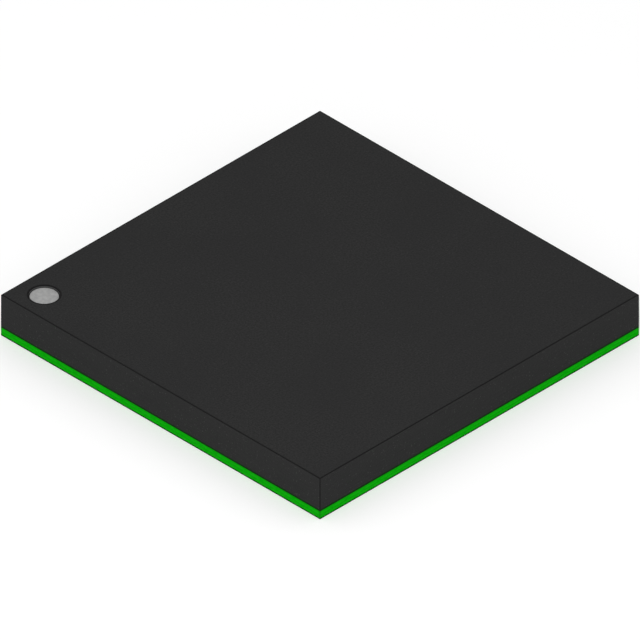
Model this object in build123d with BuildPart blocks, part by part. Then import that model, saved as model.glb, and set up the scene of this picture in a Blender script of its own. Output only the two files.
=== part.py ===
from build123d import *

import os

# Integrated circuit in a land grid array package: a wire-bonded die on a two-layer
# laminate, moulded over in one panel and sawn square.
# Millimetres, +Z up. The origin is the centre of the underside, and the corner of
# land A1 and of the pin 1 mark is at -X, +Y. North is +Y and east is +X.

# Package outline, and the layers it is built up from
body_side = 9.0
mould_thickness = 0.79
core_thickness = 0.15
copper_thickness = 0.02
mask_cover = 0.01  # solder mask over the copper

# Pin 1 mark: a shallow round recess in the mould, inked on its floor
mark_diameter = 0.62
mark_inset = 0.61  # from its centre to each of the two edges beside it
mark_depth = 0.05
mark_ink = 0.01

# Square lands in a full grid
land_pitch = 1.27
land_width = 0.63  # as bared by the mask
land_lap = 0.04  # copper hidden under the mask all round a land
land_edge_clearance = 0.3  # the least laminate outside a land's copper
index_chamfer = 0.18  # the corner taken off land A1
corner_tie_width = 0.25  # copper from the ground plane to each corner land

# Sides of the finest round things, which a true circle would make too many faces of
round_side_count = 12  # vias, their pads and the balls of the wires
wire_side_count = 6

# Plated and filled vias through the core
via_diameter = 0.15
via_pad_diameter = 0.3
thermal_via_pitch = 1.0
thermal_vias_per_side = 3

# Die, its adhesive film and the copper paddle under it
die_side = 3.2
die_thickness = 0.28
film_thickness = 0.025
paddle_margin = 0.3  # paddle showing past the die
paddle_clearance = 0.08  # from the paddle to the mask round it

# Bond pads along the edges of the die
pad_width = 0.08
pad_thickness = 0.01
pad_inset = 0.1  # from the die's edge to the pads' centres
pad_corner_clearance = 0.3  # from the die's corner to the first pad's centre

# Bond fingers on the laminate, bared in a slot of the top mask, and their traces
finger_length = 0.3
finger_width = 0.12
finger_pitch = 0.62
finger_clearance = 0.05  # from a finger to the slot's edge
mask_web = 0.12  # mask left between the paddle's window and a slot
trace_width = 0.08

# Gold bond wires
wire_diameter = 0.025
ball_diameter = 0.06
ball_height = 0.02
loop_rise = 0.15  # straight up from the ball
loop_shoulder = 0.45  # share of a wire's reach at which it turns down
stitch_inset = 0.1  # from a finger's outer end, or from the paddle's edge

# Levels of the layers, from the underside up
land_level = mask_cover
core_bottom = land_level + copper_thickness
core_top = core_bottom + core_thickness
copper_top = core_top + copper_thickness
substrate_top = copper_top + mask_cover
body_top = substrate_top + mould_thickness
film_top = copper_top + film_thickness
die_top = film_top + die_thickness
pad_top = die_top + pad_thickness
ball_top = pad_top + ball_height

# Land grid: as many rows as the body holds, with a ring of signal lands round it,
# ground lands at its corners and one ground plane behind all the lands inside it
land_copper = land_width + 2 * land_lap
lands_per_side = 1 + int((body_side - 2 * land_edge_clearance - land_copper) / land_pitch)
ring_offset = (lands_per_side - 1) * land_pitch / 2
plane_side = (lands_per_side - 3) * land_pitch + land_copper
signals_per_side = lands_per_side - 2


def row(count, pitch):
    """Centres of a row of things at an even pitch, about the middle of a side."""
    return [(i - (count - 1) / 2) * pitch for i in range(count)]


land_row = row(signals_per_side, land_pitch)

# Pads on the die: a ground pad at each end of the north and south rows
pad_line = die_side / 2 - pad_inset
ground_pad_offset = die_side / 2 - pad_corner_clearance
pad_row = row(signals_per_side, 2 * ground_pad_offset / (signals_per_side + 1))
ground_pad_centres = [
    (x, y) for x in (-ground_pad_offset, ground_pad_offset) for y in (-pad_line, pad_line)
]

# Windows of the top mask, and the fingers in them
paddle_side = die_side + 2 * paddle_margin
window_side = paddle_side + 2 * paddle_clearance
slot_start = window_side / 2 + mask_web
finger_start = slot_start + finger_clearance
finger_end = finger_start + finger_length
finger_row = row(signals_per_side, finger_pitch)
slot_width = finger_end - slot_start
slot_length = finger_row[-1] - finger_row[0] + finger_width + 2 * finger_clearance

side_turns = {"north": 0, "east": -90, "south": 180, "west": 90}


def side_plane(side, height):
    """Level plane at a height, turned so that its +Y points out of the named side."""
    return Plane.XY.offset(height).rotated((0, 0, side_turns[side]))


def at_side(side, x, y, height):
    """Point given along and out of the named side."""
    return side_plane(side, height).from_local_coords(Vector(x, y, 0))


os.makedirs("parts", exist_ok=True)

# Signal lands, etched in the bottom copper
land_pieces = []
for side in side_turns:
    with BuildPart() as lands:
        with BuildSketch(side_plane(side, land_level)):
            with Locations(*[(x, ring_offset) for x in land_row]):
                Rectangle(land_copper, land_copper)
        extrude(amount=copper_thickness)
    lands.part.label = f"lands_{side}"
    export_step(lands.part, f"parts/lands_{side}.step")
    land_pieces.append(lands.part)

# Ground plane in the same copper, tied along its diagonals to the four corner lands
with BuildPart() as ground_plane:
    with BuildSketch(Plane.XY.offset(land_level)):
        Rectangle(plane_side, plane_side)
        with GridLocations(2 * ring_offset, 2 * ring_offset, 2, 2):
            Rectangle(land_copper, land_copper)
        for turn in (45, 135):
            Rectangle(2 * ring_offset * 2**0.5, corner_tie_width, rotation=turn)
    extrude(amount=copper_thickness)
ground_plane.part.label = "ground_plane"
export_step(ground_plane.part, "parts/ground_plane.step")

# Bottom solder mask: it laps the copper and is open over each land
with BuildPart() as solder_mask_bottom:
    with BuildSketch():
        Rectangle(body_side, body_side)
    extrude(amount=core_bottom)
    add([ground_plane.part, *land_pieces], mode=Mode.SUBTRACT)
    with BuildSketch() as openings:
        with GridLocations(land_pitch, land_pitch, lands_per_side, lands_per_side):
            Rectangle(land_width, land_width)
        index_corner = openings.vertices().sort_by(Axis((0, 0, 0), (-1, 1, 0)))[-1]
        chamfer(index_corner, length=index_chamfer)
    extrude(amount=mask_cover, mode=Mode.SUBTRACT)
solder_mask_bottom.part.label = "solder_mask_bottom"
export_step(solder_mask_bottom.part, "parts/solder_mask_bottom.step")

# Signal vias, one over each signal land
via_pieces = []
for side in side_turns:
    with BuildPart() as vias:
        with BuildSketch(side_plane(side, core_bottom)):
            with Locations(*[(x, ring_offset) for x in land_row]):
                RegularPolygon(via_diameter / 2, round_side_count)
        extrude(amount=core_thickness)
    vias.part.label = f"vias_{side}"
    export_step(vias.part, f"parts/vias_{side}.step")
    via_pieces.append(vias.part)

# Thermal vias, which carry the die's heat and ground from the paddle to the plane
with BuildPart() as thermal_vias:
    with BuildSketch(Plane.XY.offset(core_bottom)):
        with GridLocations(
            thermal_via_pitch, thermal_via_pitch, thermal_vias_per_side, thermal_vias_per_side
        ):
            RegularPolygon(via_diameter / 2, round_side_count)
    extrude(amount=core_thickness)
thermal_vias.part.label = "thermal_vias"
export_step(thermal_vias.part, "parts/thermal_vias.step")

# Laminate core, drilled for the vias
with BuildPart() as substrate_core:
    with BuildSketch(Plane.XY.offset(core_bottom)):
        Rectangle(body_side, body_side)
    extrude(amount=core_thickness)
    add([thermal_vias.part, *via_pieces], mode=Mode.SUBTRACT)
substrate_core.part.label = "substrate_core"
export_step(substrate_core.part, "parts/substrate_core.step")

# Bond fingers in the top copper, each with its trace out to the pad of its via
finger_pieces = []
for side in side_turns:
    with BuildPart() as fingers:
        with BuildSketch(side_plane(side, core_top)):
            with Locations(*[(x, (finger_start + finger_end) / 2) for x in finger_row]):
                Rectangle(finger_width, finger_length)
            with Locations(*[(x, ring_offset) for x in land_row]):
                RegularPolygon(via_pad_diameter / 2, round_side_count)
            for finger_x, via_x in zip(finger_row, land_row):
                with BuildLine():
                    Line((finger_x, finger_end - finger_width / 2), (via_x, ring_offset))
                trace(line_width=trace_width)
        extrude(amount=copper_thickness)
    fingers.part.label = f"bond_fingers_{side}"
    export_step(fingers.part, f"parts/bond_fingers_{side}.step")
    finger_pieces.append(fingers.part)

# Die paddle in the same copper
with BuildPart() as die_paddle:
    with BuildSketch(Plane.XY.offset(core_top)):
        Rectangle(paddle_side, paddle_side)
    extrude(amount=copper_thickness)
die_paddle.part.label = "die_paddle"
export_step(die_paddle.part, "parts/die_paddle.step")


def mask_windows():
    """Openings of the top mask: a window round the paddle and a slot over each row of fingers."""
    Rectangle(window_side, window_side)
    with PolarLocations(slot_start + slot_width / 2, len(side_turns)):
        Rectangle(slot_width, slot_length)


# Top solder mask over the traces
with BuildPart() as solder_mask_top:
    with BuildSketch(Plane.XY.offset(core_top)):
        Rectangle(body_side, body_side)
    extrude(amount=substrate_top - core_top)
    with BuildSketch(Plane.XY.offset(core_top)):
        mask_windows()
    extrude(amount=substrate_top - core_top, mode=Mode.SUBTRACT)
    add(finger_pieces, mode=Mode.SUBTRACT)
solder_mask_top.part.label = "solder_mask_top"
export_step(solder_mask_top.part, "parts/solder_mask_top.step")

# Adhesive film that came on the back of the die
with BuildPart() as die_attach_film:
    with BuildSketch(Plane.XY.offset(copper_top)):
        Rectangle(die_side, die_side)
    extrude(amount=film_thickness)
die_attach_film.part.label = "die_attach_film"
export_step(die_attach_film.part, "parts/die_attach_film.step")

# Silicon die
with BuildPart() as die:
    with BuildSketch(Plane.XY.offset(film_top)):
        Rectangle(die_side, die_side)
    extrude(amount=die_thickness)
die.part.label = "die"
export_step(die.part, "parts/die.step")

# Aluminium bond pads on the die
with BuildPart() as die_bond_pads:
    for side in side_turns:
        with BuildSketch(side_plane(side, die_top)):
            with Locations(*[(x, pad_line) for x in pad_row]):
                Rectangle(pad_width, pad_width)
    with BuildSketch(Plane.XY.offset(die_top)):
        with Locations(*ground_pad_centres):
            Rectangle(pad_width, pad_width)
    extrude(amount=pad_thickness)
die_bond_pads.part.label = "die_bond_pads"
export_step(die_bond_pads.part, "parts/die_bond_pads.step")

# Where each wire starts on the die and where it is stitched down
wire_runs = {}
for side in side_turns:
    wire_runs[f"bond_wires_{side}"] = [
        (
            at_side(side, pad_x, pad_line, pad_top),
            at_side(side, finger_x, finger_end - stitch_inset, copper_top),
        )
        for pad_x, finger_x in zip(pad_row, finger_row)
    ]
wire_runs["ground_wires"] = [
    (
        at_side(side, x, pad_line, pad_top),
        at_side(side, x, paddle_side / 2 - stitch_inset, copper_top),
    )
    for side in ("north", "south")
    for x in (-ground_pad_offset, ground_pad_offset)
]

# Bond wires: a ball welded to the pad, a loop and a stitch on the finger or the paddle
wire_pieces = []
for name, runs in wire_runs.items():
    with BuildPart() as wires:
        with BuildSketch(Plane.XY.offset(pad_top)):
            with Locations(*[(start.X, start.Y) for start, stitch in runs]):
                RegularPolygon(ball_diameter / 2, round_side_count)
        extrude(amount=ball_height)
        for start, stitch in runs:
            neck = Vector(start.X, start.Y, ball_top)
            reach = Vector(stitch.X - start.X, stitch.Y - start.Y, 0)
            with BuildLine(Plane(neck, x_dir=reach, z_dir=reach.cross(Vector(0, 0, 1)))):
                Polyline(
                    (0, 0),
                    (0, loop_rise),
                    (loop_shoulder * reach.length, loop_rise),
                    (reach.length, stitch.Z - wire_diameter - ball_top),
                )
            with BuildSketch(Plane.XY.offset(ball_top)):
                with Locations((start.X, start.Y)):
                    RegularPolygon(wire_diameter / 2, wire_side_count)
            sweep(transition=Transition.RIGHT)
        split(bisect_by=Plane.XY.offset(copper_top), keep=Keep.TOP)
    wires.part.label = name
    export_step(wires.part, f"parts/{name}.step")
    wire_pieces.append(wires.part)

# Mould cap: the compound flowed round all that stands on the laminate and filled the
# windows of its mask, and the saw then cut it flush with the laminate
with BuildPart() as mould_cap:
    with BuildSketch(Plane.XY.offset(substrate_top)):
        Rectangle(body_side, body_side)
    extrude(amount=mould_thickness)
    with BuildSketch(Plane.XY.offset(core_top)):
        mask_windows()
    extrude(amount=substrate_top - core_top)
    add(
        [die_paddle.part, die_attach_film.part, die.part, die_bond_pads.part],
        mode=Mode.SUBTRACT,
    )
    add([*finger_pieces, *wire_pieces], mode=Mode.SUBTRACT)
    with Locations((mark_inset - body_side / 2, body_side / 2 - mark_inset, body_top)):
        Hole(mark_diameter / 2, depth=mark_depth)
mould_cap.part.label = "mould_cap"
export_step(mould_cap.part, "parts/mould_cap.step")

# Pin 1 mark: pale ink on the floor of the recess
with BuildPart() as pin_1_mark:
    with BuildSketch(Plane.XY.offset(body_top - mark_depth)):
        with Locations((mark_inset - body_side / 2, body_side / 2 - mark_inset)):
            Circle(mark_diameter / 2)
    extrude(amount=mark_ink)
pin_1_mark.part.label = "pin_1_mark"
export_step(pin_1_mark.part, "parts/pin_1_mark.step")
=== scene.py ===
import math

import bmesh
import bpy
from mathutils import Matrix, Vector


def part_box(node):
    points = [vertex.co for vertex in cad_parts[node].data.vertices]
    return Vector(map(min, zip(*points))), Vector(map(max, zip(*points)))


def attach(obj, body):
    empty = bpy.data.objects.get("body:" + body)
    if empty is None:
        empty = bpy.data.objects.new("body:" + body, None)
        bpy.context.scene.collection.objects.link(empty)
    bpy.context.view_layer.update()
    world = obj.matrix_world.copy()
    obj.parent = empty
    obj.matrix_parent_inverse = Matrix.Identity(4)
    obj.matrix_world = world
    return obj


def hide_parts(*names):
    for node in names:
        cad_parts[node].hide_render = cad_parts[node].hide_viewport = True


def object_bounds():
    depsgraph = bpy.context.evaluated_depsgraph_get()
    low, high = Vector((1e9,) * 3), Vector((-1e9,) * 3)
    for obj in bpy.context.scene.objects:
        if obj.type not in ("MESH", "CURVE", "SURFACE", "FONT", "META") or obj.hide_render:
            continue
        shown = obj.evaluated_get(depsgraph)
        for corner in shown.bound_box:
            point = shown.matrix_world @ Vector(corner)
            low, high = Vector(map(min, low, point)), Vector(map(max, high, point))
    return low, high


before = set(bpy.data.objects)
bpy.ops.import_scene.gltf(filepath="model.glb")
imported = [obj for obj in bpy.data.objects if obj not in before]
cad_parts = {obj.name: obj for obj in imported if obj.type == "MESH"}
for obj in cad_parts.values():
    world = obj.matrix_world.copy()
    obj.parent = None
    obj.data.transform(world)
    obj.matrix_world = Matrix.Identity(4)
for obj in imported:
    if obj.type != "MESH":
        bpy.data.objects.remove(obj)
solid_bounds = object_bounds()


# The laminate core is glass cloth in green-dyed resin, pressed flat and drilled for the vias.
# Its sides are cut by the saw together with the mould, so they show the ends of the glass
# bundles, and every edge of the block carries a thin dark line of painted shade.
METRE_PER_MM = 0.001


def add_node(tree, kind, inputs=None, **settings):
    """Add a node, set its options, and give each input its value or the output that feeds it."""
    node = tree.nodes.new("ShaderNode" + kind)
    for option, setting in settings.items():
        setattr(node, option, setting)
    for socket, given in (inputs or {}).items():
        if isinstance(given, bpy.types.NodeSocket):
            tree.links.new(given, node.inputs[socket])
        else:
            node.inputs[socket].default_value = given
    return node


def maths(tree, operation, *given):
    """The result of one sum, on numbers or on other nodes' outputs."""
    return add_node(tree, "Math", dict(enumerate(given)), operation=operation).outputs[0]


def off_middle(tree, cells):
    """Where a point lies in its cell, from -0.5 to 0.5, for a place counted in cells."""
    return maths(tree, "SUBTRACT", maths(tree, "FRACT", cells), 0.5)


def soft_step(tree, value, start, end):
    """A soft step from 0 at start to 1 at end, where end may be the lower of the two."""
    limits = {"Value": value, "From Min": start, "From Max": end}
    return add_node(tree, "MapRange", limits, interpolation_type="SMOOTHSTEP").outputs[0]


def spread(tree, mask, low, high):
    """A mask of 0 to 1 turned into values from low to high."""
    limits = {"Value": mask, "To Min": low, "To Max": high}
    return add_node(tree, "MapRange", limits).outputs[0]


def layered(tree, mask, under, over):
    """The colour over where the mask is 1, on the colour under where it is 0."""
    return add_node(tree, "Mix", {0: mask, 6: under, 7: over}, data_type="RGBA").outputs[2]


def paint(*channels):
    """A colour given as a screen shows it: red, green and blue, each from 0 to 255."""
    shares = [channel / 255 for channel in channels]
    linear = [((s + 0.055) / 1.055) ** 2.4 if s > 0.04 else s / 12.92 for s in shares]
    return (*linear, 1.0)


def in_mm(tree):
    """Where a point of the surface lies in the part's own frame, in millimetres."""
    place = add_node(tree, "TexCoord").outputs["Object"]
    scaled = add_node(tree, "VectorMath", {0: place, "Scale": 1 / METRE_PER_MM}, operation="SCALE")
    return scaled.outputs[0]


def split_axes(tree, vector):
    """The x, y and z of a vector."""
    return add_node(tree, "SeparateXYZ", {0: vector}).outputs


def new_effect(name, given, made):
    """An empty shader group, with its named inputs and their defaults, and its named outputs."""
    tree = bpy.data.node_groups.new(name, "ShaderNodeTree")
    for socket, default in given.items():
        added = tree.interface.new_socket(name=socket, in_out="INPUT", socket_type="NodeSocketFloat")
        added.default_value = default
    for socket in made:
        tree.interface.new_socket(name=socket, in_out="OUTPUT", socket_type="NodeSocketFloat")
    return tree, tree.nodes.new("NodeGroupInput").outputs, tree.nodes.new("NodeGroupOutput").inputs


def use_effect(tree, effect, **values):
    """Place a shader group in a material with its own values, and give its outputs."""
    placed = tree.nodes.new("ShaderNodeGroup")
    placed.node_tree = effect
    for socket, value in values.items():
        placed.inputs[socket.replace("_", " ")].default_value = value
    return placed.outputs


def new_finish(name, metallic=0.0, specular=0.5):
    """A material with only its shader, whose plain values are set on its own sockets."""
    finish = bpy.data.materials.new(name)
    finish.use_nodes = True
    shader = finish.node_tree.nodes["Principled BSDF"]
    shader.inputs["Metallic"].default_value = metallic
    shader.inputs["Specular IOR Level"].default_value = specular
    return finish, finish.node_tree, shader.inputs


def give_finish(tree, shader, colour, roughness, height, relief_mm):
    """Feed the shader its colour and roughness, and raise the surface by the relief at height 1."""
    tree.links.new(colour, shader["Base Color"])
    tree.links.new(roughness, shader["Roughness"])
    relief = {"Height": height, "Distance": relief_mm * METRE_PER_MM, "Strength": 1.0}
    tree.links.new(add_node(tree, "Bump", relief).outputs[0], shader["Normal"])


def dress(finish, *nodes):
    """Give the named solids of the part this finish."""
    for name in nodes:
        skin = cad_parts[name].data.materials
        skin.clear()
        skin.append(finish)


block_half = solid_bounds[1].x / METRE_PER_MM
block_top = solid_bounds[1].z / METRE_PER_MM
core_bottom, core_top = [corner.z / METRE_PER_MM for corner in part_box("substrate_core")]
laminate_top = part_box("solder_mask_top")[1].z / METRE_PER_MM

# Clouded tone, at a size of cloud that each material gives.
noise_low, noise_high = 0.3, 0.7
mottle, given, made = new_effect("mottle", {"Cloud mm": 0.1, "Detail": 2.0}, ["Tone"])
clouds = {
    "Vector": in_mm(mottle),
    "Scale": maths(mottle, "DIVIDE", 1.0, given["Cloud mm"]),
    "Detail": given["Detail"],
}
cloud_noise = add_node(mottle, "TexNoise", clouds).outputs[0]
mottle.links.new(soft_step(mottle, cloud_noise, noise_low, noise_high), made["Tone"])

# A sawn side: where it is, how far along it a point lies, and the marks of the blade, which
# start at another place on each side.
slope_of_level, slope_of_side = 0.7, 0.3
start_by_side = (5.0, 9.0, 0.0)
sawn_side, given, made = new_effect(
    "sawn side", {"Mark length mm": 1.5, "Mark width mm": 0.012}, ["Cut", "Along mm", "Marks"]
)
outward = add_node(sawn_side, "TexCoord").outputs["Normal"]
side_x, side_y, side_z = [maths(sawn_side, "ABSOLUTE", axis) for axis in split_axes(sawn_side, outward)]
place_x, place_y, place_z = split_axes(sawn_side, in_mm(sawn_side))
along_x = maths(sawn_side, "MULTIPLY", place_x, side_y)
along_y = maths(sawn_side, "MULTIPLY", place_y, side_x)
along = maths(sawn_side, "ADD", along_x, along_y)
start = add_node(sawn_side, "VectorMath", {0: outward, 1: start_by_side}, operation="DOT_PRODUCT")
run_of_marks = {
    0: maths(sawn_side, "DIVIDE", along, given["Mark length mm"]),
    1: maths(sawn_side, "DIVIDE", place_z, given["Mark width mm"]),
    2: start.outputs["Value"],
}
marks_run = add_node(sawn_side, "CombineXYZ", run_of_marks).outputs[0]
marks = add_node(sawn_side, "TexNoise", {"Vector": marks_run, "Scale": 1.0, "Detail": 2.0}).outputs[0]
sawn_side.links.new(soft_step(sawn_side, side_z, slope_of_level, slope_of_side), made["Cut"])
sawn_side.links.new(along, made["Along mm"])
sawn_side.links.new(soft_step(sawn_side, marks, noise_low, noise_high), made["Marks"])

# A thin line of painted shade along every edge of the sawn block, along the seam of laminate
# and mould, and along the foot where the part meets the board. A level edge is near where a side
# and a level are both near, and an upright edge is near where two sides are. The top's line is
# drawn further over the top than down the side.
wander_per_mm = 30.0
narrowest_share, widest_share = 0.7, 1.3
full_dark_share = 0.65
line_sizes = {"Width mm": 0.02, "Seam width mm": 0.02, "Upright share": 1.0, "Roll over": 1.0}
painted_edge_shade, given, made = new_effect("painted edge shade", line_sizes, ["Line"])
place_x, place_y, place_z = split_axes(painted_edge_shade, in_mm(painted_edge_shade))
from_x, from_y = [
    maths(painted_edge_shade, "SUBTRACT", block_half, maths(painted_edge_shade, "ABSOLUTE", place))
    for place in (place_x, place_y)
]
off_seam = maths(painted_edge_shade, "ABSOLUTE", maths(painted_edge_shade, "SUBTRACT", place_z, laminate_top))
seam_stretch = maths(painted_edge_shade, "DIVIDE", given["Width mm"], given["Seam width mm"])
from_seam = maths(painted_edge_shade, "MULTIPLY", off_seam, seam_stretch)
from_top = maths(painted_edge_shade, "SUBTRACT", block_top, place_z)
down_side = maths(painted_edge_shade, "MULTIPLY", from_top, given["Roll over"])
from_ends = maths(painted_edge_shade, "MINIMUM", place_z, down_side)
from_level = maths(painted_edge_shade, "MINIMUM", from_seam, from_ends)
from_side = maths(painted_edge_shade, "MINIMUM", from_x, from_y)
over_level = maths(painted_edge_shade, "DIVIDE", from_side, given["Roll over"])
from_level_edge = maths(painted_edge_shade, "MAXIMUM", over_level, from_level)
from_upright_edge = maths(painted_edge_shade, "MAXIMUM", from_x, from_y)
wander_noise = {"Vector": in_mm(painted_edge_shade), "Scale": wander_per_mm}
wander = add_node(painted_edge_shade, "TexNoise", wander_noise).outputs[0]
width_share = spread(painted_edge_shade, wander, narrowest_share, widest_share)
ragged = maths(painted_edge_shade, "MULTIPLY", given["Width mm"], width_share)
level_line, upright_line = [
    soft_step(painted_edge_shade, maths(painted_edge_shade, "DIVIDE", from_edge, ragged), 1.0, full_dark_share)
    for from_edge in (from_level_edge, from_upright_edge)
]
fainter = maths(painted_edge_shade, "MULTIPLY", upright_line, given["Upright share"])
painted_edge_shade.links.new(maths(painted_edge_shade, "MAXIMUM", level_line, fainter), made["Line"])

ply_count = 2
bundle_pitch = 0.44
bundle_width = 0.36
bundle_share_of_ply = 0.62
bundle_rim, bundle_heart = 1.15, 0.75
mark_strength = 0.25
# The colour of the painted edge shade on the green.
green_line = paint(0, 44, 0)
green_edges = {"Width_mm": 0.042, "Seam_width_mm": 0.014, "Upright_share": 0.27}
laminate, tree, shader = new_finish("green_laminate", specular=0.02)
side = use_effect(tree, sawn_side, Mark_width_mm=0.015)
height = split_axes(tree, in_mm(tree))[2]
ply_height = (core_top - core_bottom) / ply_count
plies = maths(tree, "DIVIDE", maths(tree, "SUBTRACT", height, core_bottom), ply_height)
stagger = maths(tree, "MULTIPLY", maths(tree, "FLOOR", plies), 0.5)
bundles = maths(tree, "ADD", maths(tree, "DIVIDE", side["Along mm"], bundle_pitch), stagger)
across = maths(tree, "MULTIPLY", off_middle(tree, bundles), 2 * bundle_pitch / bundle_width)
upward = maths(tree, "MULTIPLY", off_middle(tree, plies), 2 / bundle_share_of_ply)
off_bundle = maths(tree, "ADD", maths(tree, "POWER", across, 2.0), maths(tree, "POWER", upward, 2.0))
bundle = maths(tree, "MULTIPLY", soft_step(tree, off_bundle, bundle_rim, bundle_heart), side["Cut"])
filaments = use_effect(tree, mottle, Cloud_mm=0.012)["Tone"]
clouded = use_effect(tree, mottle, Cloud_mm=0.09)["Tone"]
resin = layered(tree, clouded, paint(2, 170, 2), paint(6, 182, 6))
glass = layered(tree, filaments, paint(4, 176, 4), paint(22, 194, 18))
cut_face = layered(tree, bundle, resin, glass)
marks_seen = maths(tree, "MULTIPLY", side["Marks"], mark_strength)
marked = layered(tree, marks_seen, cut_face, paint(0, 154, 0))
# Painted shade along the edges of the laminate.
line = use_effect(tree, painted_edge_shade, **green_edges)["Line"]
give_finish(
    tree,
    shader,
    colour=layered(tree, line, marked, green_line),
    roughness=spread(tree, filaments, 0.5, 0.7),
    height=maths(tree, "ADD", side["Marks"], maths(tree, "MULTIPLY", bundle, filaments)),
    relief_mm=0.002,
)
dress(laminate, "substrate_core")


# The copper of both faces is etched to the ground plane, the paddle, the traces and the lands,
# and the vias are plated through the core and filled. Nickel and gold are plated wherever
# the masks leave the copper bare: on the lands, the fingers and the paddle.
land_low, land_high = [corner / METRE_PER_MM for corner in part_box("lands_north")]
land_copper = land_high.y - land_low.y
ring_offset = (land_high.y + land_low.y) / 2
lands_per_side = 7
land_pitch = 2 * ring_offset / (lands_per_side - 1)
land_width = 0.63
finger_end = 2.45
plating_fade = 0.004
gold_clouding = 0.35
dark_copper, bright_copper = paint(196, 118, 84), paint(222, 146, 108)
quarter_turns = {"north": 0, "west": 1, "south": 2, "east": 3}

copper, tree, shader = new_finish("copper", metallic=1.0)
clouded = use_effect(tree, mottle, Cloud_mm=0.15)["Tone"]
etched = use_effect(tree, mottle, Cloud_mm=0.012)["Tone"]
give_finish(
    tree,
    shader,
    colour=layered(tree, clouded, dark_copper, bright_copper),
    roughness=spread(tree, etched, 0.35, 0.55),
    height=etched,
    relief_mm=0.001,
)
dress(copper, "thermal_vias", *[f"vias_{side_name}" for side_name in quarter_turns])

plated, tree, shader = new_finish("gold_on_copper", metallic=1.0)
place_x, place_y, place_z = split_axes(tree, in_mm(tree))
from_land_centres = []
for place in (place_x, place_y):
    pitches = maths(tree, "ADD", maths(tree, "DIVIDE", place, land_pitch), 0.5)
    from_centre = maths(tree, "ABSOLUTE", off_middle(tree, pitches))
    from_land_centres.append(maths(tree, "MULTIPLY", from_centre, land_pitch))
farthest = maths(tree, "MAXIMUM", *from_land_centres)
in_land = soft_step(tree, farthest, land_width / 2 + plating_fade, land_width / 2 - plating_fade)
outward = maths(tree, "MAXIMUM", maths(tree, "ABSOLUTE", place_x), maths(tree, "ABSOLUTE", place_y))
in_window = soft_step(tree, outward, finger_end + plating_fade, finger_end - plating_fade)
on_top = maths(tree, "GREATER_THAN", place_z, (core_bottom + core_top) / 2)
bared = add_node(tree, "Mix", {0: on_top, 2: in_land, 3: in_window}).outputs[0]
grain = use_effect(tree, mottle, Cloud_mm=0.014, Detail=3.0)["Tone"]
clouded = use_effect(tree, mottle, Cloud_mm=0.2)["Tone"]
gold = layered(tree, grain, paint(212, 170, 88), paint(240, 206, 128))
clouds_seen = maths(tree, "MULTIPLY", clouded, gold_clouding)
gold_clouded = layered(tree, clouds_seen, gold, paint(226, 178, 92))
bare_copper = layered(tree, clouded, dark_copper, bright_copper)
give_finish(
    tree,
    shader,
    colour=layered(tree, bared, bare_copper, gold_clouded),
    roughness=spread(tree, grain, 0.28, 0.46),
    height=grain,
    relief_mm=0.0007,
)
dress(plated, "ground_plane", "die_paddle")
for side_name in quarter_turns:
    dress(plated, f"lands_{side_name}", f"bond_fingers_{side_name}")


# The solder masks are green resin, cured over the etched copper and opened by light and
# developer. The underside's stands higher where copper lies under it, so the lands and the
# ground plane show as raised fields, and its openings have rounded corners and soft rims.
index_chamfer = 0.18
tie_width = 0.25
mask_depth = core_bottom
land_level = land_low.z
copper_corner = 0.03
opening_corner = 0.045
# How far outside the copper, or the opening, and the height there.
relief_steps = [(0.014, 0.006), (0.006, 0.0048), (-0.002, 0.0016), (-0.01, 0.0)]
rim_steps = [(0.007, 0.0), (0.0025, 0.002), (0.0, 0.006), (0.0, land_level)]
crease_angle = math.radians(50)
cured_gloss = 0.3


def square_at(x, y, half):
    """The corners of a square, anticlockwise."""
    return [Vector((x + half * i, y + half * j)) for i, j in ((-1, -1), (1, -1), (1, 1), (-1, 1))]


def quarter_turned(points, turns):
    """The points turned by so many right angles about the middle of the part."""
    for _ in range(turns):
        points = [Vector((-point.y, point.x)) for point in points]
    return points


def with_neighbours(outline):
    """Each point of a closed outline, between the one before it and the one after it."""
    return zip(outline[-1:] + outline[:-1], outline, outline[1:] + outline[:1])


def bend(before, corner, after, radius, steps=4):
    """The points that round off a corner, from the line before it to the line after it."""
    back, onward = (before - corner).normalized(), (after - corner).normalized()
    cut_back = radius / math.tan(back.angle(onward) / 2)
    shares = [step / steps for step in range(steps + 1)]
    return [corner + (back * (1 - share) ** 2 + onward * share**2) * cut_back for share in shares]


def rounded(outline, radius):
    """A closed outline with each of its corners rounded."""
    return [point for corner in with_neighbours(outline) for point in bend(*corner, radius)]


def grown(outline, outset):
    """A closed anticlockwise outline moved outwards, square to itself at each point."""
    moved = []
    for before, point, after in with_neighbours(outline):
        first, second = (point - before).normalized(), (after - point).normalized()
        square = Vector((first.y + second.y, -first.x - second.x))
        moved.append(point + square * 2 * outset / square.length_squared)
    return moved


def add_loop(mesh, outline, height):
    """Points of a mesh along an outline, at one height."""
    return [mesh.verts.new((point.x, point.y, height)) for point in outline]


def add_band(mesh, *loops):
    """Smooth faces from each loop to the next, which have equally many points."""
    for lower, upper in zip(loops, loops[1:]):
        for i in range(len(lower)):
            mesh.faces.new((lower[i - 1], lower[i], upper[i], upper[i - 1])).smooth = True


def add_flat(mesh, *loops):
    """A flat face between the first loop and the others, which are holes in it."""
    edges = []
    for loop in loops:
        for i in range(len(loop)):
            ends = (loop[i - 1], loop[i])
            edges.append(mesh.edges.get(ends) or mesh.edges.new(ends))
    bmesh.ops.triangle_fill(mesh, edges=edges, use_beauty=True)


def finish_piece(mesh, name, finish, slot, *replaced):
    """Turn a mesh in millimetres into a piece that stands for the named solids of the part."""
    bmesh.ops.recalc_face_normals(mesh, faces=mesh.faces)
    for edge in mesh.edges:
        edge.smooth = edge.calc_face_angle(0) < crease_angle
    mesh.transform(Matrix.Scale(METRE_PER_MM, 4))
    shape = bpy.data.meshes.new(name)
    mesh.to_mesh(shape)
    mesh.free()
    shape.materials.append(finish)
    piece = bpy.data.objects.new(name, shape)
    bpy.context.scene.collection.objects.link(piece)
    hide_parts(*replaced)
    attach(piece, "root")


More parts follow.
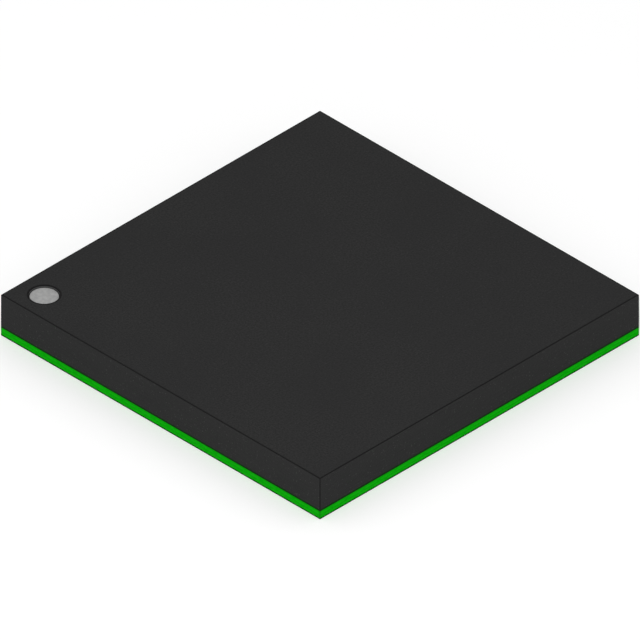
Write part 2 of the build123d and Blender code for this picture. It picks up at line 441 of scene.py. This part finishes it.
land_row = [(i - (lands_per_side - 1) / 2) * land_pitch for i in range(lands_per_side)]
plane_half = land_row[-2] + land_copper / 2
tie_half = tie_width / math.sqrt(2)
corner_start, corner_end = ring_offset - land_copper / 2, ring_offset + land_copper / 2
plane_quarter = [
    Vector((plane_half, plane_half - tie_half)),
    Vector((corner_start + tie_half, corner_start)),
    Vector((corner_end, corner_start)),
    Vector((corner_end, corner_end)),
    Vector((corner_start, corner_end)),
    Vector((corner_start, corner_start + tie_half)),
    Vector((plane_half - tie_half, plane_half)),
]
plane_outline = [point for turns in range(4) for point in quarter_turned(plane_quarter, turns)]
index_corner = Vector((-ring_offset - land_width / 2, ring_offset + land_width / 2))
index_opening = square_at(-ring_offset, ring_offset, land_width / 2)[:3]
index_opening += [index_corner + Vector((index_chamfer, 0)), index_corner - Vector((0, index_chamfer))]

# Each field of copper, with the openings of the mask that lie over it.
copper_fields = []
for turns in quarter_turns.values():
    for x in land_row[1:-1]:
        field, opening = [
            quarter_turned(square_at(x, ring_offset, width / 2), turns)
            for width in (land_copper, land_width)
        ]
        copper_fields.append((field, [opening]))
ground_openings = [square_at(x, y, land_width / 2) for x in land_row[1:-1] for y in land_row[1:-1]]
for x, y in ((-ring_offset, -ring_offset), (ring_offset, -ring_offset), (ring_offset, ring_offset)):
    ground_openings.append(square_at(x, y, land_width / 2))
copper_fields.append((plane_outline, [*ground_openings, index_opening]))

mask_mesh = bmesh.new()
side_foot = add_loop(mask_mesh, square_at(0, 0, block_half), relief_steps[0][1])
side_head = add_loop(mask_mesh, square_at(0, 0, block_half), mask_depth)
add_band(mask_mesh, side_foot, side_head)
bare_edges, pocket_heads = [side_foot], [side_head]
for copper_outline, openings in copper_fields:
    relief = [
        add_loop(mask_mesh, grown(rounded(copper_outline, copper_corner), outset), height)
        for outset, height in relief_steps
    ]
    add_band(mask_mesh, *relief)
    bare_edges.append(relief[0])
    rims, floors = [], []
    for opening in openings:
        wall = [
            add_loop(mask_mesh, grown(rounded(opening, opening_corner), outset), height)
            for outset, height in rim_steps
        ]
        add_band(mask_mesh, *wall)
        rims.append(wall[0])
        floors.append(wall[-1])
    pocket_foot = add_loop(mask_mesh, copper_outline, land_level)
    pocket_head = add_loop(mask_mesh, copper_outline, mask_depth)
    add_band(mask_mesh, pocket_foot, pocket_head)
    pocket_heads.append(pocket_head)
    add_flat(mask_mesh, relief[-1], *rims)
    add_flat(mask_mesh, pocket_foot, *floors)
add_flat(mask_mesh, *bare_edges)
add_flat(mask_mesh, *pocket_heads)

solder_mask, tree, shader = new_finish("green_solder_mask", specular=0.02)
shader["Coat Roughness"].default_value = 0.35
side = use_effect(tree, sawn_side, Mark_width_mm=0.01)
height = split_axes(tree, in_mm(tree))[2]
cured_skin = maths(tree, "SUBTRACT", 1.0, side["Cut"])
sunk = soft_step(tree, height, relief_steps[2][1], relief_steps[0][1])
clouded = use_effect(tree, mottle, Cloud_mm=0.25)["Tone"]
rippled = use_effect(tree, mottle, Cloud_mm=0.05)["Tone"]
over_copper = layered(tree, clouded, paint(10, 146, 12), paint(18, 158, 20))
over_laminate = layered(tree, clouded, paint(0, 112, 6), paint(6, 124, 10))
face_green = layered(tree, maths(tree, "MULTIPLY", sunk, cured_skin), over_copper, over_laminate)
cut_green = layered(tree, side["Marks"], paint(0, 162, 0), paint(6, 176, 4))
green = layered(tree, side["Cut"], face_green, cut_green)
# The painted edge shade, as on the laminate.
line = use_effect(tree, painted_edge_shade, **green_edges)["Line"]
give_finish(
    tree,
    shader,
    colour=layered(tree, line, green, green_line),
    roughness=spread(tree, rippled, 0.4, 0.55),
    height=rippled,
    relief_mm=0.0008,
)
tree.links.new(maths(tree, "MULTIPLY", cured_skin, cured_gloss), shader["Coat Weight"])
dress(solder_mask, "solder_mask_top")
finish_piece(mask_mesh, "underside_solder_mask", solder_mask, "solder_mask", "solder_mask_bottom")


# The adhesive film is resin full of fine silica. It came on the back of the die, was cut with
# it, and is cured between the die and the paddle.
filler_pitch = 0.008
filler_rim, filler_heart = 0.35, 0.2
film, tree, shader = new_finish("die_attach_adhesive", specular=0.3)
clouded = use_effect(tree, mottle, Cloud_mm=0.06)["Tone"]
cured_resin = layered(tree, clouded, paint(190, 170, 126), paint(206, 188, 144))
filler = add_node(tree, "TexVoronoi", {"Vector": in_mm(tree), "Scale": 1 / filler_pitch})
speck = soft_step(tree, filler.outputs["Distance"], filler_rim, filler_heart)
give_finish(
    tree,
    shader,
    colour=layered(tree, speck, cured_resin, paint(232, 224, 200)),
    roughness=spread(tree, clouded, 0.5, 0.7),
    height=speck,
    relief_mm=0.001,
)
dress(film, "die_attach_film")


# The die is silicon, ground thin and sawn from its wafer. Its circuits lie in its top under
# clear glass, in blocks inside the frame of pads, and its sides are bare and marked by the saw.
die_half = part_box("die")[1].x / METRE_PER_MM
scribe_width = 0.03
pad_frame_width = 0.2
scribe_fade, frame_fade = 0.002, 0.004
bank_share, block_share = 0.5, 0.4
silicon, tree, shader = new_finish("silicon", metallic=0.6)
side = use_effect(tree, sawn_side, Mark_length_mm=0.6, Mark_width_mm=0.006)
place_x, place_y = split_axes(tree, in_mm(tree))[:2]
outward = maths(tree, "MAXIMUM", maths(tree, "ABSOLUTE", place_x), maths(tree, "ABSOLUTE", place_y))
from_edge = maths(tree, "SUBTRACT", die_half, outward)
rows_of_cells = {
    "Vector": in_mm(tree),
    "Color1": paint(98, 104, 124),
    "Color2": paint(124, 118, 130),
    "Mortar": paint(72, 78, 104),
    "Scale": 1.0,
    "Mortar Size": 0.003,
    "Brick Width": 0.04,
    "Row Height": 0.015,
}
cells = add_node(tree, "TexBrick", rows_of_cells, offset=0.37).outputs["Color"]
circuit_blocks = {
    "Vector": in_mm(tree),
    "Color1": paint(92, 100, 130),
    "Color2": paint(132, 118, 120),
    "Mortar": paint(66, 70, 92),
    "Scale": 1.0,
    "Mortar Size": 0.006,
    "Brick Width": 1.15,
    "Row Height": 0.74,
}
blocks = add_node(tree, "TexBrick", circuit_blocks, offset=0.43, squash=0.6, squash_frequency=3)
memory_banks = {**circuit_blocks, "Brick Width": 0.19, "Row Height": 0.37}
banks = add_node(tree, "TexBrick", memory_banks, offset=0.5)
banked = layered(tree, bank_share, cells, banks.outputs["Color"])
logic = layered(tree, block_share, banked, blocks.outputs["Color"])
in_frame = soft_step(tree, from_edge, pad_frame_width + frame_fade, pad_frame_width - frame_fade)
framed = layered(tree, in_frame, logic, paint(106, 112, 126))
in_scribe = soft_step(tree, from_edge, scribe_width + scribe_fade, scribe_width - scribe_fade)
circuits = layered(tree, in_scribe, framed, paint(82, 84, 92))
bare_side = layered(tree, side["Marks"], paint(78, 80, 88), paint(116, 118, 126))
give_finish(
    tree,
    shader,
    colour=layered(tree, side["Cut"], circuits, bare_side),
    roughness=spread(tree, side["Cut"], 0.16, 0.4),
    height=maths(tree, "MULTIPLY", side["Marks"], side["Cut"]),
    relief_mm=0.0008,
)
dress(silicon, "die")


# The bond pads are aluminium, sputtered on the die and opened in its glass. The wafer test's
# needles scraped their grainy metal before the wires were bonded to them.
pad_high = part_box("die_bond_pads")[1] / METRE_PER_MM
scrapes_per_mm = (220.0, 30.0, 1.0)
scrape_rim, scrape_heart = 0.55, 0.7
aluminium, tree, shader = new_finish("aluminium_pad", metallic=1.0)
grain = use_effect(tree, mottle, Cloud_mm=0.004)["Tone"]
sputtered = layered(tree, grain, paint(196, 198, 204), paint(220, 222, 226))
scrape_run = add_node(tree, "VectorMath", {0: in_mm(tree), 1: scrapes_per_mm}, operation="MULTIPLY")
scrapes = add_node(tree, "TexNoise", {"Vector": scrape_run.outputs[0], "Scale": 1.0}).outputs[0]
scraped = soft_step(tree, scrapes, scrape_rim, scrape_heart)
give_finish(
    tree,
    shader,
    colour=layered(tree, scraped, sputtered, paint(170, 172, 178)),
    roughness=spread(tree, grain, 0.3, 0.5),
    height=maths(tree, "SUBTRACT", grain, scraped),
    relief_mm=0.0006,
)
dress(aluminium, "die_bond_pads")


# The wires are drawn gold, 25 micrometres thick. Each starts as a ball that was melted on its
# end and pressed flat on a pad, loops over to a finger or to the paddle, and ends as a thin
# crescent, where the bonder squeezed it onto the gold and broke it off.
finger_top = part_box("die_paddle")[1].z / METRE_PER_MM
pad_top = pad_high.z
pad_width = 0.08
pad_line = pad_high.y - pad_width / 2
ground_pad_offset = 1.3
wires_from_middle = (lands_per_side - 3) // 2
pad_pitch = ground_pad_offset / (wires_from_middle + 1)
finger_pitch = 0.62
stitch_inset = 0.1
finger_line = finger_end - stitch_inset
paddle_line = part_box("die_paddle")[1].y / METRE_PER_MM - stitch_inset
wire_half = 0.0125
wire_steps = 16
bend_radius = 0.03
ball_height = 0.02
loop_rise = 0.15
loop_shoulder = 0.45
# Height over the pad, and half width.
ball_profile = [
    (0.0, 0.0245),
    (0.0015, 0.0275),
    (0.006, 0.03),
    (0.012, 0.03),
    (0.0165, 0.0275),
    (0.0195, 0.022),
    (0.023, 0.0165),
    (0.029, 0.0135),
    (0.04, wire_half),
]
# Distance from where the wire touches down, half width and half thickness.
crescent_profile = [
    (0.012, 0.0155, 0.0085),
    (0.024, 0.0215, 0.0052),
    (0.038, 0.0275, 0.003),
    (0.05, 0.029, 0.0018),
    (0.058, 0.024, 0.0011),
    (0.062, 0.016, 0.0008),
]


def add_wire(mesh, pad, landing):
    """The skin of one wire: rings along it, from the foot of its ball to its crescent's tip."""
    along = (landing - pad).normalized()
    across = Vector((-along.y, along.x))
    reach = (landing - pad).length
    loop_top = pad_top + ball_height + loop_rise
    loop = [
        Vector((0, pad_top)),
        Vector((0, loop_top)),
        Vector((loop_shoulder * reach, loop_top)),
        Vector((reach, finger_top - 2 * wire_half)),
    ]
    fallen = (loop_top - finger_top - wire_half) / (loop_top - loop[-1].y)
    touch = loop[-2].lerp(loop[-1], fallen)
    stations = [(Vector((0, pad_top + height)), half, half) for height, half in ball_profile]
    for corner in zip(loop, loop[1:], loop[2:]):
        stations += [(point, wire_half, wire_half) for point in bend(*corner, bend_radius)]
    stations.append((touch, wire_half, wire_half))
    for distance, half_width, half_thickness in crescent_profile:
        station = Vector((touch.x + distance, finger_top + half_thickness))
        stations.append((station, half_width, half_thickness))
    rings = []
    for i, (station, half_width, half_thickness) in enumerate(stations):
        run = (stations[min(i + 1, len(stations) - 1)][0] - stations[max(i - 1, 0)][0]).normalized()
        ring = []
        for step in range(wire_steps):
            turn = math.tau * step / wire_steps
            lift = half_thickness * math.sin(turn)
            plan = pad + along * (station.x - run.y * lift) + across * half_width * math.cos(turn)
            ring.append(mesh.verts.new((plan.x, plan.y, max(station.y + run.x * lift, finger_top))))
        rings.append(ring)
    add_band(mesh, *rings)
    add_flat(mesh, rings[0])
    add_flat(mesh, rings[-1])


north_runs = [
    [Vector((i * pad_pitch, pad_line)), Vector((i * finger_pitch, finger_line))]
    for i in range(-wires_from_middle, wires_from_middle + 1)
]
wire_runs = {
    f"bond_wires_{side_name}": [quarter_turned(run, turns) for run in north_runs]
    for side_name, turns in quarter_turns.items()
}
wire_runs["ground_wires"] = [
    [Vector((x, side_sign * pad_line)), Vector((x, side_sign * paddle_line))]
    for x in (-ground_pad_offset, ground_pad_offset)
    for side_sign in (-1, 1)
]

drawn_gold, tree, shader = new_finish("drawn_gold", metallic=1.0)
clouded = use_effect(tree, mottle, Cloud_mm=0.02)["Tone"]
drawn = use_effect(tree, mottle, Cloud_mm=0.003)["Tone"]
give_finish(
    tree,
    shader,
    colour=layered(tree, clouded, paint(232, 186, 84), paint(250, 212, 120)),
    roughness=spread(tree, clouded, 0.18, 0.3),
    height=drawn,
    relief_mm=0.0002,
)
for node, runs in wire_runs.items():
    wires_mesh = bmesh.new()
    for pad, landing in runs:
        add_wire(wires_mesh, pad, landing)
    finish_piece(wires_mesh, f"ball_bonded_{node}", drawn_gold, "gold_wire", node)


# The mould cap is black epoxy full of ground silica, moulded in one shot over the die and its
# wires and sawn with the laminate. Its top has the matt skin of the mould's wall. Its sides show
# the blade's marks and cut grains, and its edges a thin line of painted shade, dark green just over
# the seam with the laminate.
mark_low, mark_high = [corner / METRE_PER_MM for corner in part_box("pin_1_mark")]
mark_centre = ((mark_low + mark_high) / 2).xy
mark_radius = (mark_high.x - mark_low.x) / 2
recess_floor = mark_low.z
round_steps = 96
weld_distance = 0.0001
face_slack = 0.001
# The rounding of the top's edges: how far in from the side, and how far down from the top.
edge_steps = [(0.0, 0.018), (0.0, 0.012), (0.001, 0.0055), (0.0055, 0.001), (0.012, 0.0)]


def circle(radius):
    """Points round the pin 1 mark's centre, anticlockwise."""
    turns = [math.tau * i / round_steps for i in range(round_steps)]
    return [mark_centre + Vector((math.cos(turn), math.sin(turn))) * radius for turn in turns]


cap_mesh = bmesh.new()
cap_mesh.from_mesh(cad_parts["mould_cap"].data)
cap_mesh.transform(Matrix.Scale(1 / METRE_PER_MM, 4))
bmesh.ops.remove_doubles(cap_mesh, verts=cap_mesh.verts, dist=weld_distance)
shell = []
for face in cap_mesh.faces:
    middle = face.calc_center_median()
    on_side = max(abs(middle.x), abs(middle.y)) > block_half - face_slack
    if on_side or middle.z > recess_floor - face_slack:
        shell.append(face)
bmesh.ops.delete(cap_mesh, geom=shell, context="FACES")
foot = [
    min(cap_mesh.verts, key=lambda point: (point.co - Vector((*corner, laminate_top))).length)
    for corner in square_at(0, 0, block_half)
]
side_loops = [
    add_loop(cap_mesh, square_at(0, 0, block_half - inset), block_top - drop)
    for inset, drop in edge_steps
]
recess_loops = [
    add_loop(cap_mesh, circle(mark_radius + drop), block_top - inset) for inset, drop in edge_steps
]
floor_loop = add_loop(cap_mesh, circle(mark_radius), recess_floor)
add_band(cap_mesh, foot, *side_loops)
add_band(cap_mesh, *recess_loops, floor_loop)
add_flat(cap_mesh, side_loops[-1], recess_loops[0])
add_flat(cap_mesh, floor_loop)

# The ground silica has grains of many sizes, in no order, so each side cuts as many of them.
grain_pitch = 0.04
size_shuffle = 17
fines_power = 3.0
largest_grain = 0.34
grain_fade = 0.06
skinned_grain, cut_grain = 0.35, 0.45
flow_share = 0.3
faint_marks, full_marks = 0.3, 0.7
# Painted shade in a dark ring round the recess's rim and round the foot of its wall, and a paler
# painted light on the wall inside it, which lies in shade.
ring_full, ring_end = 0.036, 0.046
rim_depth, wall_depth = 0.01, 0.014
floor_edge, wall_foot = 0.001, 0.003
# How high over the seam the painted edge shade stays dark green, and how soft its end is.
green_shade_height, green_shade_fade = 0.04, 0.012
# How dark the painted shade of the edges and of the ring round the recess is.
shade_strength = 0.85
compound, tree, shader = new_finish("black_mould_compound", specular=0.05)
side = use_effect(tree, sawn_side)
skin = use_effect(tree, mottle, Cloud_mm=0.04, Detail=3.0)["Tone"]
flow = use_effect(tree, mottle, Cloud_mm=1.6)["Tone"]
grains = add_node(tree, "TexVoronoi", {"Vector": in_mm(tree), "Scale": 1 / grain_pitch})
grain_place = split_axes(tree, grains.outputs["Color"])[0]
grain_size = maths(tree, "FRACT", maths(tree, "MULTIPLY", grain_place, size_shuffle))
grain_reach = maths(tree, "MULTIPLY", maths(tree, "POWER", grain_size, fines_power), largest_grain)
past_grain = maths(tree, "SUBTRACT", grains.outputs["Distance"], grain_reach)
grain = soft_step(tree, past_grain, grain_fade, -grain_fade)
tone = layered(tree, skin, paint(34, 34, 34), paint(46, 46, 46))
flowed = layered(tree, maths(tree, "MULTIPLY", flow, flow_share), tone, paint(35, 35, 36))
top_face = layered(tree, maths(tree, "MULTIPLY", grain, skinned_grain), flowed, paint(61, 61, 61))
sawn = layered(tree, spread(tree, side["Marks"], faint_marks, full_marks), flowed, paint(49, 49, 49))
sawn_face = layered(tree, maths(tree, "MULTIPLY", grain, cut_grain), sawn, paint(80, 80, 79))
# The painted edge shade, wider at the seam and reaching further over the top.
line = use_effect(tree, painted_edge_shade, Width_mm=0.02, Seam_width_mm=0.042, Roll_over=1.7)["Line"]
in_plan = add_node(tree, "VectorMath", {0: in_mm(tree), 1: (1, 1, 0)}, operation="MULTIPLY").outputs[0]
to_mark = add_node(tree, "VectorMath", {0: in_plan, 1: (*mark_centre, 0)}, operation="DISTANCE")
height = split_axes(tree, in_mm(tree))[2]
from_floor = maths(tree, "SUBTRACT", height, recess_floor)
under_rim = soft_step(tree, maths(tree, "SUBTRACT", block_top, height), rim_depth, wall_depth)
off_floor = soft_step(tree, from_floor, floor_edge, wall_foot)
on_wall = maths(tree, "MULTIPLY", under_rim, off_floor)
# A ring of painted shade round the recess's rim and the foot of its wall.
by_mark = soft_step(tree, to_mark.outputs["Value"], mark_radius + ring_end, mark_radius + ring_full)
ring = maths(tree, "MULTIPLY", by_mark, maths(tree, "SUBTRACT", 1.0, on_wall))
# Painted light on the recess's wall, which lies in shade.
painted_wall_light = maths(tree, "MULTIPLY", by_mark, on_wall)
# The painted shade of the edges and of the ring round the recess.
dark = maths(tree, "MULTIPLY", maths(tree, "MAXIMUM", line, ring), shade_strength)
over_seam = maths(tree, "SUBTRACT", height, laminate_top)
# Just over the seam, the painted edge shade is dark green.
green_shade_mask = soft_step(tree, over_seam, green_shade_height + green_shade_fade, green_shade_height)
shade_line_colour = layered(tree, green_shade_mask, paint(14, 14, 14), green_line)
faces = layered(tree, side["Cut"], top_face, sawn_face)
give_finish(
    tree,
    shader,
    colour=layered(tree, dark, layered(tree, painted_wall_light, faces, paint(84, 84, 84)), shade_line_colour),
    roughness=spread(tree, skin, 0.55, 0.7),
    height=maths(tree, "ADD", skin, maths(tree, "MULTIPLY", side["Cut"], side["Marks"])),
    relief_mm=0.0015,
)
finish_piece(cap_mesh, "sawn_mould_cap", compound, "mould_compound", "mould_cap")


# The pin 1 mark is pale ink, printed onto the floor of the recess by a soft pad. It has dried
# a little hollow, in faint clouds, and its rounded rim stops just short of the recess's wall.
ink_top = mark_high.z
pigment_share = 0.3
# Share of the recess's radius, and height over the ink's highest ring.
ink_rings = [
    (0.95, -0.004),
    (0.946, -0.0015),
    (0.93, 0.0),
    (0.84, -0.0004),
    (0.6, -0.0012),
    (0.3, -0.0018),
]
ink_mesh = bmesh.new()
ink_loops = [
    add_loop(ink_mesh, circle(mark_radius * share), ink_top + rise) for share, rise in ink_rings
]
ink_foot = add_loop(ink_mesh, circle(mark_radius * ink_rings[0][0]), recess_floor)
add_band(ink_mesh, ink_foot, *ink_loops)
add_flat(ink_mesh, ink_loops[-1])
add_flat(ink_mesh, ink_foot)

ink, tree, shader = new_finish("pale_mark_ink", specular=0.2)
clouded = use_effect(tree, mottle, Cloud_mm=0.07, Detail=3.0)["Tone"]
pigment = use_effect(tree, mottle, Cloud_mm=0.012)["Tone"]
dried = layered(tree, clouded, paint(146, 146, 146), paint(164, 164, 163))
give_finish(
    tree,
    shader,
    colour=layered(tree, maths(tree, "MULTIPLY", pigment, pigment_share), dried, paint(172, 172, 171)),
    roughness=spread(tree, clouded, 0.55, 0.7),
    height=pigment,
    relief_mm=0.0008,
)
finish_piece(ink_mesh, "dried_pin_1_ink", ink, "mark_ink", "pin_1_mark")


# The part lies on a pale matt board, in a white room with soft lamps. The board is cut out
# under the part, so that its underside is lit as well, and can be looked through from below.
board_half_m = 0.25
card_glow = 0.28
hole_half_m = solid_bounds[1].x
board_outline = [corner for half in (board_half_m, hole_half_m) for corner in square_at(0, 0, half)]
board_faces = [(i, (i + 1) % 4, 4 + (i + 1) % 4, 4 + i) for i in range(4)]
board_mesh = bpy.data.meshes.new("board")
board_mesh.from_pydata([(*corner, 0) for corner in board_outline], [], board_faces)
board = bpy.data.objects.new("board", board_mesh)
bpy.context.scene.collection.objects.link(board)

card, tree, shader = new_finish("white_card", specular=0.0)
shader["Base Color"].default_value = (0.8, 0.8, 0.8, 1)
shader["Roughness"].default_value = 1.0
shader["Emission Color"].default_value = (1, 1, 1, 1)
path = add_node(tree, "LightPath").outputs
seen = maths(tree, "MAXIMUM", path["Is Camera Ray"], path["Is Glossy Ray"])
tree.links.new(maths(tree, "MULTIPLY", seen, card_glow), shader["Emission Strength"])
facing_down = add_node(tree, "NewGeometry").outputs["Backfacing"]
looked_through = {
    0: maths(tree, "MULTIPLY", facing_down, path["Is Camera Ray"]),
    1: tree.nodes["Principled BSDF"].outputs[0],
    2: add_node(tree, "BsdfTransparent").outputs[0],
}
surface = add_node(tree, "MixShader", looked_through).outputs[0]
tree.links.new(surface, tree.nodes["Material Output"].inputs["Surface"])
board_mesh.materials.append(card)

ambient = 0.75
room = bpy.data.worlds.new("white_room")
bpy.context.scene.world = room
room.use_nodes = True
tree = room.node_tree
path = add_node(tree, "LightPath").outputs
through = maths(tree, "MAXIMUM", path["Is Glossy Ray"], path["Is Transmission Ray"])
seen = maths(tree, "MAXIMUM", path["Is Camera Ray"], through)
background = tree.nodes["Background"].inputs
background["Color"].default_value = (1, 1, 1, 1)
tree.links.new(spread(tree, seen, ambient, 1.0), background["Strength"])


def add_softbox(name, place, size, power):
    """A square lamp, at a place in metres, that faces the part."""
    lamp = bpy.data.lights.new(name, "AREA")
    lamp.size = size
    lamp.energy = power
    holder = bpy.data.objects.new(name, lamp)
    holder.location = place
    holder.rotation_euler = Vector(place).to_track_quat("Z", "Y").to_euler()
    bpy.context.scene.collection.objects.link(holder)


add_softbox("key_lamp", place=(-0.028, -0.02, 0.055), size=0.04, power=0.011)
add_softbox("low_lamp", place=(0.02, -0.03, -0.06), size=0.04, power=0.006)


# The camera looks at the part from its front left and above, as an isometric drawing does.
# Its scale and its height come from where the part's outline lies in the picture.
picture_width_px = 640
outline_left_px, outline_right_px = 1.0, 639.0
middle_height_px = 315.05
camera_distance_m = 0.1
pixels_per_metre = (outline_right_px - outline_left_px) / (2 * math.sqrt(2) * solid_bounds[1].x)
azimuth, elevation = math.radians(-45), math.atan(1 / math.sqrt(2))
back = Vector(
    (
        math.sin(azimuth) * math.cos(elevation),
        -math.cos(azimuth) * math.cos(elevation),
        math.sin(elevation),
    )
)
view_turn = back.to_track_quat("Z", "Y")
rise = (picture_width_px / 2 - middle_height_px) / pixels_per_metre
lens = bpy.data.cameras.new("camera")
lens.type = "ORTHO"
lens.ortho_scale = picture_width_px / pixels_per_metre
lens.clip_start = 0.001
camera = bpy.data.objects.new("camera", lens)
middle = (solid_bounds[0] + solid_bounds[1]) / 2
camera.location = middle + back * camera_distance_m - view_turn @ Vector((0, rise, 0))
camera.rotation_euler = view_turn.to_euler()
bpy.context.scene.collection.objects.link(camera)
bpy.context.scene.camera = camera
bpy.context.scene.view_settings.view_transform = "Standard"
